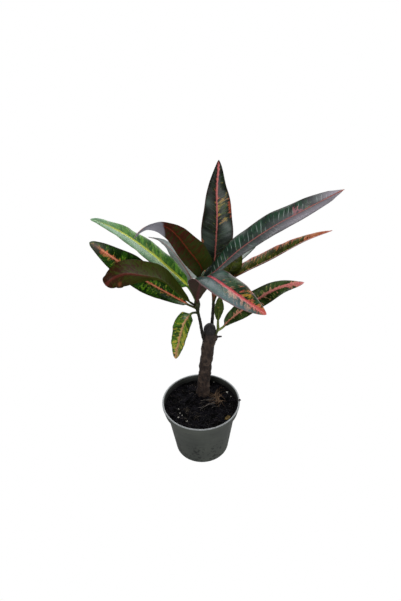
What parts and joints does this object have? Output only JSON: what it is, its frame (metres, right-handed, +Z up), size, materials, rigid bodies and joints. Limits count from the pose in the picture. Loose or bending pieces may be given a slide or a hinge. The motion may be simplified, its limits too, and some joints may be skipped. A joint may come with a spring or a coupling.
{
  "type": "potted croton",
  "caption": "Potted croton with a cut-back woody trunk, thin shoots and long glossy leaves patterned in green, pink and orange, in a round plastic nursery pot of soil.",
  "frame": {"origin": "centre of the flat pad in the middle of the pot's underside, on the surface the pot stands on", "axes": "+Z up along the pot's axis, -Y towards the side the plant is looked at from, +X to its right"},
  "size_m": [0.3286, 0.2097, 0.4612],
  "materials": {
    "pot": "matte moulded plastic",
    "soil": "damp peat with crumbs and fibres",
    "trunk": "rough bark",
    "shoot_left": "smooth dark bark",
    "shoot_right": "smooth dark bark",
    "shoot_small": "smooth green bark",
    "leaf_top": "glossy leaf",
    "leaf_long_right": "glossy leaf",
    "leaf_mid_right": "glossy leaf",
    "leaf_low_right": "glossy leaf",
    "leaf_front": "glossy leaf",
    "leaf_arching_left": "glossy leaf",
    "leaf_thin_left": "glossy leaf",
    "leaf_green_left": "glossy leaf",
    "leaf_red_rib_left": "glossy leaf",
    "leaf_curled_left": "glossy leaf",
    "leaf_hanging": "glossy leaf",
    "leaf_small_upright": "glossy leaf",
    "leaf_behind_right": "glossy leaf",
    "leaf_short_right": "glossy leaf",
    "leaf_back": "glossy leaf",
    "leaf_back_left": "glossy leaf"
  },
  "bodies": {
    "root": {"pot": "pot", "soil": "soil", "trunk": "trunk", "shoot_left": "shoot_left", "shoot_right": "shoot_right", "shoot_small": "shoot_small", "leaf_top": "leaf_top", "leaf_long_right": "leaf_long_right", "leaf_mid_right": "leaf_mid_right", "leaf_low_right": "leaf_low_right", "leaf_front": "leaf_front", "leaf_arching_left": "leaf_arching_left", "leaf_thin_left": "leaf_thin_left", "leaf_green_left": "leaf_green_left", "leaf_red_rib_left": "leaf_red_rib_left", "leaf_curled_left": "leaf_curled_left", "leaf_hanging": "leaf_hanging", "leaf_small_upright": "leaf_small_upright", "leaf_behind_right": "leaf_behind_right", "leaf_short_right": "leaf_short_right", "leaf_back": "leaf_back", "leaf_back_left": "leaf_back_left"}
  },
  "joints": []
}
